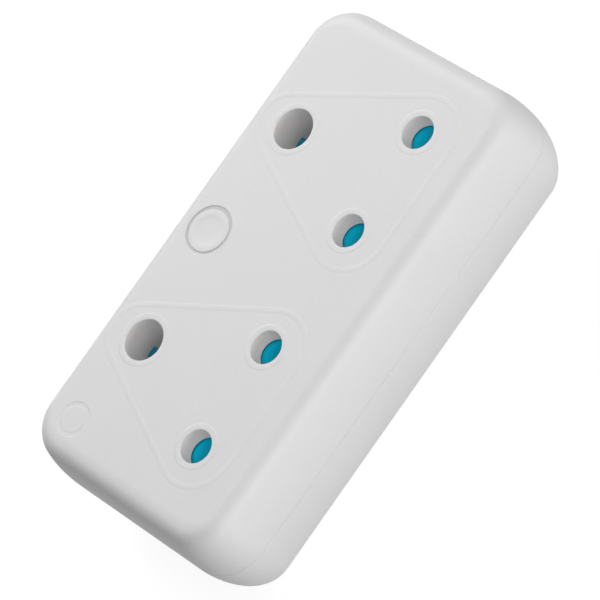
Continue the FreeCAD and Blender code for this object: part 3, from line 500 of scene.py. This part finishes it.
def collar_profile(hole_r):
    """Collar round a hole and the hole's rim, with flat rows that keep the face's shading even."""
    outer = hole_r + COLLAR
    profile = [(outer + reach, HEIGHT + share * EMBOSS) for reach, share in COLLAR_SLOPE]
    return profile + arc(hole_r + RIM_R, HEIGHT + EMBOSS - RIM_R, RIM_R, 90, 180, RIM_STEPS)


def add_line_hole(bm, x):
    """Hole over a shutter's blade; gives its loops in the face and in the ceiling."""
    rows = collar_profile(LINE_R)
    rows += [(LINE_R, LINE_WALL_Z), (LINE_R + LINE_FOOT_GROWTH, LINE_GAP_Z),
             (LINE_R + COLLAR, LINE_GAP_Z), (LINE_R + COLLAR, CEILING_Z)]
    made = strip(bm, [ring(x, LINE_Y, r, z) for r, z in rows])
    return made[0], made[-1]


def add_earth_hole(bm, x):
    """Hole and tube with a slot for the cam; gives its loops in the face and in the ceiling."""
    rows = collar_profile(EARTH_R)
    rows += [(EARTH_R, BOSS_Z), (EARTH_R + TUBE_FLARE, TUBE_Z), (TUBE_OUT_R, TUBE_Z),
             (TUBE_OUT_R, BOSS_Z), (TUBE_OUT_R, CEILING_Z)]
    made = [add_loop(bm, ring(x, EARTH_Y, r, z)) for r, z in rows]
    inner_top, inner_low, outer_low, outer_top, ceiling = made[-5:]
    bore = made[:-4]
    slot = set(EARTH_SLOT)
    for low, high in zip(bore, bore[1:]):
        bridge(bm, low, high)
    bridge(bm, inner_top, inner_low, slot)
    bridge(bm, inner_low, outer_low, slot)
    bridge(bm, outer_low, outer_top, slot)
    bridge(bm, outer_top, ceiling)
    bridge(bm, inner_top, outer_top, set(range(RING_POINTS)) - slot)
    for edge in (EARTH_SLOT.start, EARTH_SLOT.stop):
        bm.faces.new((inner_top[edge], inner_low[edge], outer_low[edge], outer_top[edge]))
    return made[0], ceiling


def add_button_hole(bm):
    """Groove round the button and the hole under it, with its loops in the face and the ceiling."""
    loops = [ring(BUTTON_X + GROOVE_SHIFT, BUTTON_Y, GROOVE_R + reach, HEIGHT - depth)
             for reach, depth in GROOVE_EDGE]
    for radius, z in ((BUTTON_HOLE_R, HEIGHT - GROOVE_DEPTH), (BUTTON_HOLE_R, BUTTON_WELL_Z),
                      (BUTTON_WELL_R, BUTTON_WELL_Z), (BUTTON_WELL_R, CEILING_Z)):
        loops.append(ring(BUTTON_X, BUTTON_Y, radius, z))
    made = strip(bm, loops)
    return made[0], made[-1]


def add_mark(bm):
    """Corner mark of two faint rings; gives its loop in the face."""
    made = strip(bm, [ring(MARK_X, MARK_Y, r, HEIGHT - share * MARK_DEPTH)
                      for r, share in MARK_PROFILE])
    bm.faces.new(made[-1])
    return made[0]


def face_slot(middle):
    """Material slot of a face of the front moulding, from where its middle lies."""
    near_line = min(math.hypot(middle.x - x - side * LINE_HALF, middle.y - LINE_Y)
                    for x in SOCKET_X for side in (1, -1))
    near_earth = min(math.hypot(middle.x - x, middle.y - EARTH_Y) for x in SOCKET_X)
    near_button = math.hypot(middle.x - BUTTON_X, middle.y - BUTTON_Y)
    # Painted shade: the seam's upper lip and the floor of the button's groove take a darker grey
    if PARTING_Z < middle.z < PARTING_Z + FRONT_SEAM_HEIGHT:
        return SHADE_SLOT
    if BUTTON_HOLE_R - NEAR < near_button < GROOVE_R + 2 * NEAR:
        if BUTTON_WELL_Z < middle.z < HEIGHT - GROOVE_LIP:
            return SHADE_SLOT
    if middle.z > HEIGHT - RIM_R:
        return SHELL_SLOT
    # Painted shade: a line bore's wall takes a darker white, and the band below it black, for the
    # shadowed gap over the shutter
    if abs(near_line - LINE_R) < NEAR:
        return LINE_BORE_SLOT if middle.z > LINE_WALL_Z else GAP_SHADE_SLOT
    if near_earth < EARTH_R + TUBE_FLARE:
        return EARTH_BORE_SLOT
    return SHELL_SLOT


def build_front_shell():
    bm = bmesh.new()
    openings = []
    for x in SOCKET_X:
        for side in (1, -1):
            openings.append(add_line_hole(bm, x + side * LINE_HALF))
        openings.append(add_earth_hole(bm, x))
        add_ridge(bm, x)
    openings.append(add_button_hole(bm))
    mark = add_mark(bm)

    rows = [(side_grow(0) - FACE_GUARD, HEIGHT, end_grow(0) - FACE_GUARD)]
    for drop in FRONT_DROPS + (HEIGHT - PARTING_Z - FRONT_SEAM_HEIGHT,):
        rows.append((side_grow(drop), HEIGHT - drop, end_grow(drop)))
    for grow, rise in SEAM_LIP:
        rows.append((SIDE_FLARE - SEAM_DEPTH + grow, PARTING_Z + rise, None))
    rows += [(SIDE_FLARE - REBATE_WIDTH, PARTING_Z + SEAM_GAP, None),
             (SIDE_FLARE - REBATE_WIDTH, PARTING_Z + REBATE_DEPTH, None),
             (SIDE_FLARE - SIDE_WALL - REBATE_WALL, PARTING_Z + REBATE_DEPTH, None),
             (wall_grow(HEIGHT - CEILING_Z) - SIDE_WALL, CEILING_Z, None)]
    made = strip(bm, [outline(side, z, end) for side, z, end in rows])
    fill_flat(bm, made[0], [top for top, ceiling in openings] + [mark])
    fill_flat(bm, made[-1], [ceiling for top, ceiling in openings])

    for sx in (1, -1):
        for sy in (1, -1):
            add_post(bm, sx * SCREW_X, sy * SCREW_Y, SCREW_POST_R, PARTING_Z)
    for x in SOCKET_X:
        for side in (1, -1):
            for post_y in GUIDE_POST_Y:
                add_post(bm, x + side * GUIDE_POST_X, post_y, GUIDE_POST_R, GUIDE_POST_Z)
    for face in bm.faces:
        face.material_index = face_slot(face.calc_center_median() / MM)
    return finish_mesh(bm, "front_moulding")


# Other mouldings and springs
def build_button():
    rows = [(radius, HEIGHT - depth) for radius, depth in BUTTON_DISH]
    rows += arc(BUTTON_R - BUTTON_EDGE_R, HEIGHT - BUTTON_EDGE_R, BUTTON_EDGE_R, 90, 0, RIM_STEPS)
    rows += [(BUTTON_R, FLANGE_TOP_Z + FLANGE_EDGE), (BUTTON_R, FLANGE_TOP_Z),
             (FLANGE_R - FLANGE_EDGE, FLANGE_TOP_Z), (FLANGE_R, FLANGE_TOP_Z - FLANGE_EDGE),
             (FLANGE_R, FLANGE_FOOT_Z + FLANGE_EDGE), (FLANGE_R - FLANGE_EDGE, FLANGE_FOOT_Z),
             (STEM_R, FLANGE_FOOT_Z), (STEM_R, STEM_FOOT_Z + STEM_EDGE),
             (STEM_R - STEM_EDGE, STEM_FOOT_Z)]
    bm = closed_loft([ring(BUTTON_X, BUTTON_Y, r, z) for r, z in rows])
    return finish_mesh(bm, "reset_cap", BUTTON_SHARP_ANGLE)


def build_rear_shell():
    heights = REAR_HEIGHTS + (PARTING_Z - REAR_SEAM_HEIGHT,)
    walls = [outline(rear_grow(z), z) for z in heights]
    tongue = SIDE_FLARE - REBATE_WIDTH - TONGUE_GAP
    tongue_top = PARTING_Z + REBATE_DEPTH - TONGUE_GAP
    rows = [outline(SIDE_FLARE - SEAM_DEPTH + grow, PARTING_Z - fall) for grow, fall in SEAM_LIP]
    rows += [outline(tongue, PARTING_Z - SEAM_GAP), outline(tongue, tongue_top),
             outline(SIDE_FLARE - SIDE_WALL, tongue_top)]
    rows += [outline(rear_grow(z - REAR_WALL) - SIDE_WALL, z) for z in REAR_INNER_HEIGHTS]
    shell = make_object(closed_loft(walls + rows), "solid")
    whole = make_object(closed_loft(walls), "solid")
    bosses = []
    cuts = []
    for sx in (1, -1):
        for sy in (1, -1):
            at = Vector((sx * SCREW_X, sy * SCREW_Y, 0))
            boss = turned_solid("z", [
                (SCREW_BOSS_R, SCREW_BOSS_FOOT_Z), (SCREW_BOSS_R, SCREW_BOSS_TOP_Z),
                (SCREW_POST_R, SCREW_BOSS_TOP_Z + SCREW_BOSS_EDGE),
                (SCREW_POST_R, PARTING_Z - SCREW_POST_GAP)], at)
            bosses.append(combine(boss, [whole], "INTERSECT"))
            cuts.append(turned_solid("z", [
                (SCREW_RECESS_R, -PAST), (SCREW_RECESS_R, SCREW_SEAT_Z),
                (SCREW_HOLE_R, SCREW_SEAT_Z), (SCREW_HOLE_R, PARTING_Z + PAST)], at))
    at = Vector((0, 0, INLET_Z))
    edge = arc(INLET_OUT_X - INLET_EDGE_R, INLET_BOSS_R - INLET_EDGE_R, INLET_EDGE_R, 90, 0, LIP_STEPS)
    boss = [(INLET_BOSS_R, INLET_ROOT_X)] + [(r, x) for x, r in edge]
    bosses.append(turned_solid("x", boss, at, RING_POINTS))
    cuts.append(turned_solid("x", [(INLET_BORE_R, x) for x in INLET_CUT_X], at, RING_POINTS))
    combine(combine(shell, bosses, "UNION"), cuts, "DIFFERENCE")
    bm = bmesh.new()
    bm.from_mesh(shell.data)
    for obj in [shell, whole] + bosses + cuts:
        bpy.data.objects.remove(obj)
    return finish_mesh(bm, "rear_moulding")


def build_bush():
    rows = list(BUSH_BODY)
    for radius, start, end in ((BUSH_LIP_OUT_R, 90, 0), (BUSH_LIP_IN_R, 0, -90)):
        rows += [(r, x) for x, r in arc(BUSH_LIP_X, radius, BUSH_LIP_EDGE_R, start, end, LIP_STEPS)]
    bm = bmesh.new()
    made = strip(bm, turned_loops("x", rows, Vector((0, 0, INLET_Z)), RING_POINTS))
    bridge(bm, made[-1], made[0])
    return finish_mesh(bm, "cord_bush")


def build_spring(name, node, upright, turns, wire):
    """Coil that fills its node's box, along Z if upright and else along Y."""
    low, high = (Vector(corner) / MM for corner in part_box(node))
    centre = (low + high) / 2
    length = high.z - low.z if upright else high.y - low.y
    radius = (high.x - low.x - wire) / 2
    steps = turns * COIL_STEPS
    loops = []
    for step in range(steps + 1):
        angle = 2 * math.pi * step / COIL_STEPS
        along = (step / steps - 0.5) * (length - wire)
        loop = []
        for side in range(WIRE_SIDES):
            turn = 2 * math.pi * side / WIRE_SIDES
            reach = radius + wire / 2 * math.cos(turn)
            rise = along + wire / 2 * math.sin(turn)
            x, y = reach * math.cos(angle), reach * math.sin(angle)
            loop.append(centre + (Vector((x, y, rise)) if upright else Vector((x, rise, y))))
        loops.append(loop)
    return finish_mesh(closed_loft(loops), name)


# Material helpers
def add(tree, kind, **values):
    node = tree.nodes.new(kind)
    for key, value in values.items():
        if key in node.inputs:
            node.inputs[key].default_value = value
        else:
            setattr(node, key, value)
    return node


def node_material(name):
    material = bpy.data.materials.new(name)
    material.use_nodes = True
    tree = material.node_tree
    return material, tree, tree.nodes["Principled BSDF"]


def noise(tree, scale, detail, roughness=0.5, stretch=(1, 1, 1)):
    coord = add(tree, "ShaderNodeTexCoord")
    mapping = add(tree, "ShaderNodeMapping", Scale=stretch)
    tree.links.new(coord.outputs["Object"], mapping.inputs["Vector"])
    texture = add(tree, "ShaderNodeTexNoise", Scale=scale, Detail=detail, Roughness=roughness)
    tree.links.new(mapping.outputs["Vector"], texture.inputs["Vector"])
    return texture.outputs["Fac"]


def map_range(tree, value, source, target=(0.0, 1.0)):
    node = add(tree, "ShaderNodeMapRange")
    node.inputs["From Min"].default_value, node.inputs["From Max"].default_value = source
    node.inputs["To Min"].default_value, node.inputs["To Max"].default_value = target
    tree.links.new(value, node.inputs["Value"])
    return node.outputs["Result"]


def tint(tree, factor, low, high):
    """Mix of two colours, each an RGB colour or a socket."""
    mix = add(tree, "ShaderNodeMix", data_type="RGBA")
    tree.links.new(factor, mix.inputs["Factor"])
    for place, colour in zip(MIX_COLOURS, (low, high)):
        if isinstance(colour, tuple):
            mix.inputs[place].default_value = (*colour, 1)
        else:
            tree.links.new(colour, mix.inputs[place])
    return mix.outputs[MIX_COLOUR_RESULT]


def paint_shade_down(tree, colour, painted_shade, top, foot):
    """Painted shade: blend to a second, darker colour from a height down to another."""
    place = add(tree, "ShaderNodeSeparateXYZ")
    tree.links.new(add(tree, "ShaderNodeTexCoord").outputs["Object"], place.inputs[0])
    return tint(tree, map_range(tree, place.outputs["Z"], (top * MM, foot * MM)), colour, painted_shade)


def bump(tree, shader, value, distance):
    node = add(tree, "ShaderNodeBump", Strength=1.0, Distance=distance)
    tree.links.new(value, node.inputs["Height"])
    tree.links.new(node.outputs["Normal"], shader.inputs["Normal"])


def plastic(name, colour, spread, rough, grain_scale, grain_depth, specular=0.5, painted_shade=None,
            painted_glow=0.0):
    """Moulded plastic; the emission is a painted glow that brightens a wall, standing in for light
    that comes through thin white plastic, and the optional second colour is painted shade that darkens
    it downwards.
    """
    material, tree, shader = node_material(name)
    dark = tuple(c * (1 - spread) for c in colour)
    light = tuple(min(c * (1 + spread), 1.0) for c in colour)
    grain = noise(tree, grain_scale, GRAIN_DETAIL, FINE_ROUGHNESS)
    mottle = add(tree, "ShaderNodeMix", Factor=GRAIN_SHARE)
    clouds = noise(tree, MOTTLE_SCALE, MOTTLE_DETAIL)
    for place, cause in zip(MIX_NUMBERS, (clouds, grain)):
        tree.links.new(map_range(tree, cause, NOISE_RANGE), mottle.inputs[place])
    shade = tint(tree, mottle.outputs[0], dark, light)
    if painted_shade:
        shade = paint_shade_down(tree, shade, *painted_shade)
    tree.links.new(shade, shader.inputs["Base Color"])
    swing = (rough - PLASTIC_SWING, rough + PLASTIC_SWING)
    tree.links.new(map_range(tree, grain, NOISE_RANGE, swing), shader.inputs["Roughness"])
    bump(tree, shader, grain, grain_depth)
    shader.inputs["Specular IOR Level"].default_value = specular
    shader.inputs["Emission Color"].default_value = (1, 1, 1, 1)
    shader.inputs["Emission Strength"].default_value = painted_glow
    return material


def metal(name, colour, rough, scale, stretch, depth):
    material, tree, shader = node_material(name)
    dark = tuple(c * METAL_DARK for c in colour)
    streak = noise(tree, scale, STREAK_DETAIL, FINE_ROUGHNESS, stretch)
    shade = tint(tree, map_range(tree, streak, NOISE_RANGE), dark, colour)
    tree.links.new(shade, shader.inputs["Base Color"])
    swing = (rough - METAL_SWING, rough + METAL_SWING)
    tree.links.new(map_range(tree, streak, NOISE_RANGE, swing), shader.inputs["Roughness"])
    bump(tree, shader, streak, depth)
    shader.inputs["Metallic"].default_value = 1.0
    return material


# Materials: painted shade darkens the bores' walls and the cams downwards, from one height to another
SHELL_GRAIN = {"grain_scale": 3200.0, "grain_depth": 0.000012}
BORE_FINISH = {"spread": 0.022, "rough": 0.5, "specular": 0.2, **SHELL_GRAIN}
BORE_TOP_Z = HEIGHT - RIM_R
CAM_SHADE_Z = (28.05, 26.6)

WHITE = plastic("shell_white", (0.742, 0.742, 0.742), spread=0.03, rough=0.45, specular=0.3,
                **SHELL_GRAIN)
# The bores' walls are painted darker than the shell's white, as painted shade inside the holes
LINE_BORE_SHADE = plastic("line_bore_painted_shade", (0.49, 0.47, 0.45), painted_glow=0.14,
                    painted_shade=((0.585, 0.47, 0.43), BORE_TOP_Z, LINE_WALL_Z), **BORE_FINISH)
EARTH_BORE_SHADE = plastic("earth_bore_painted_shade", (0.55, 0.53, 0.52), painted_glow=0.09,
                     painted_shade=((0.42, 0.36, 0.345), BORE_TOP_Z, TUBE_Z), **BORE_FINISH)
# Painted shade for the button's groove and the seam's lip
RING_SHADE = plastic("ring_painted_shade", (0.60, 0.60, 0.60), **BORE_FINISH)
# The blue carries painted shade, darkening down the cams' lower ends
BLUE = plastic("shutter_blue", (0.0005, 0.55, 0.82), spread=0.03, rough=0.32, grain_scale=2600.0,
               grain_depth=0.000008, specular=0.08, painted_shade=((0.0003, 0.30, 0.47), *CAM_SHADE_Z))
GREY = plastic("carrier_grey", (0.045, 0.047, 0.050), spread=0.06, rough=0.5, grain_scale=2400.0,
               grain_depth=0.00002)
BLACK = plastic("cutout_black", (0.012, 0.012, 0.012), spread=0.08, rough=0.45, grain_scale=2400.0,
                grain_depth=0.00002)
RUBBER = plastic("bush_rubber", (0.26, 0.26, 0.255), spread=0.06, rough=0.65, grain_scale=1800.0,
                 grain_depth=0.00003, specular=0.3)
BRASS = metal("contact_brass", (0.70, 0.47, 0.20), rough=0.32, scale=700.0, stretch=(1, 1, 0.12),
              depth=0.000006)
STEEL = metal("screw_steel", (0.55, 0.55, 0.56), rough=0.30, scale=900.0, stretch=(1, 1, 0.3),
              depth=0.000006)
SLOT_MATERIALS = {
    "shell_white": WHITE, "shutter_blue": BLUE, "carrier_grey": GREY, "cutout_black": BLACK,
    "bush_rubber": RUBBER, "contact_brass": BRASS, "screw_steel": STEEL,
}

slot_of = {part["node"]: part["material_slot"] for part in frame["record"]["subparts"]}
for name, obj in frame["nodes"].items():
    obj.data.materials.clear()
    obj.data.materials.append(SLOT_MATERIALS[slot_of[name]])


# Pieces
def dress(obj, node, body="housing"):
    """Put a piece in a node's place, with its finish."""
    obj.data.materials.append(SLOT_MATERIALS[slot_of[node]])
    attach(obj, body)
    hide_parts(node)


front = build_front_shell()
dress(front, "front_shell")
# Materials of the slots after the shell's own, in their order, all painted shade: the line bores,
# black for their gaps, the earth bores, and grey for the groove and the seam
for material in (LINE_BORE_SHADE, BLACK, EARTH_BORE_SHADE, RING_SHADE):
    front.data.materials.append(material)
dress(build_rear_shell(), "rear_shell")
dress(build_bush(), "inlet_bush")
dress(build_button(), "reset_button", "reset_button")
for number in (1, 2):
    node = f"shutter_spring_{number}"
    coil = build_spring(f"shutter_coil_{number}", node, False, SHUTTER_SPRING_TURNS,
                        SHUTTER_SPRING_WIRE)
    dress(coil, node)
    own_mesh(coil)
coil = build_spring("reset_coil", "reset_spring", True, RESET_SPRING_TURNS, RESET_SPRING_WIRE)
dress(coil, "reset_spring")
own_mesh(coil)


# Stage
def any_ray(tree, *kinds):
    """One for the rays of these kinds, zero for the others."""
    rays = add(tree, "ShaderNodeLightPath")
    found = rays.outputs[kinds[0]]
    for kind in kinds[1:]:
        either = add(tree, "ShaderNodeMath", operation="MAXIMUM")
        tree.links.new(found, either.inputs[0])
        tree.links.new(rays.outputs[kind], either.inputs[1])
        found = either.outputs[0]
    return found


def mix_shaders(tree, factor, low, high):
    both = add(tree, "ShaderNodeMixShader")
    if isinstance(factor, float):
        both.inputs["Fac"].default_value = factor
    else:
        tree.links.new(factor, both.inputs["Fac"])
    tree.links.new(low.outputs[0], both.inputs[1])
    tree.links.new(high.outputs[0], both.inputs[2])
    return both


def build_floor():
    """White floor that shows a faint shadow and gives little light back to the part."""
    bm = bmesh.new()
    bmesh.ops.create_grid(bm, x_segments=1, y_segments=1, size=FLOOR_HALF,
                          matrix=Matrix.Translation((0, 0, FLOOR_Z)))
    floor = make_object(bm, "floor")
    material = bpy.data.materials.new("floor")
    material.use_nodes = True
    tree = material.node_tree
    tree.nodes.clear()
    seen = any_ray(tree, "Is Camera Ray", "Is Glossy Ray", "Is Transmission Ray")
    bounce = add(tree, "ShaderNodeBsdfDiffuse", Color=FLOOR_BOUNCE)
    shaded = add(tree, "ShaderNodeBsdfDiffuse", Color=FLOOR_SHOWN)
    glow = add(tree, "ShaderNodeEmission", Color=(1, 1, 1, 1), Strength=FLOOR_GLOW)
    shown = mix_shaders(tree, FLOOR_SHADED_SHARE, glow, shaded)
    both = mix_shaders(tree, seen, bounce, shown)
    output = add(tree, "ShaderNodeOutputMaterial")
    tree.links.new(both.outputs[0], output.inputs["Surface"])
    floor.data.materials.append(material)


def build_world():
    """White for the camera, dark for the part, so that only the soft boxes light it."""
    world = bpy.data.worlds.new("studio")
    bpy.context.scene.world = world
    world.use_nodes = True
    tree = world.node_tree
    tree.nodes.clear()
    seen = any_ray(tree, "Is Camera Ray", "Is Transmission Ray")
    dark = add(tree, "ShaderNodeBackground", Color=(1, 1, 1, 1), Strength=0.0)
    white = add(tree, "ShaderNodeBackground", Color=(1, 1, 1, 1), Strength=1.0)
    output = add(tree, "ShaderNodeOutputWorld")
    tree.links.new(mix_shaders(tree, seen, dark, white).outputs[0], output.inputs["Surface"])


def area_light(name, turn, height, energy):
    """Soft box one metre from the part."""
    light = bpy.data.lights.new(name, "AREA")
    light.shape = "RECTANGLE"
    light.size, light.size_y = LIGHT_SIZE
    light.energy = energy
    obj = bpy.data.objects.new(name, light)
    turn = math.radians(turn)
    height = math.radians(height)
    level = math.cos(height)
    obj.location = (math.cos(turn) * level, math.sin(turn) * level, math.sin(height))
    obj.rotation_euler = (-obj.location).to_track_quat("-Z", "Y").to_euler()
    bpy.context.scene.collection.objects.link(obj)


build_floor()
build_world()
for number, (turn, height, energy) in enumerate(SOFT_BOXES):
    area_light(f"soft_box_{number}", turn, height, energy)

camera_data = bpy.data.cameras.new("camera")
camera_data.sensor_width = CAMERA_SENSOR
camera_data.lens = CAMERA_LENS
camera = bpy.data.objects.new("camera", camera_data)
camera.matrix_world = Matrix(CAMERA_PLACE)
bpy.context.scene.collection.objects.link(camera)
bpy.context.scene.camera = camera
bpy.context.scene.view_settings.view_transform = "Standard"
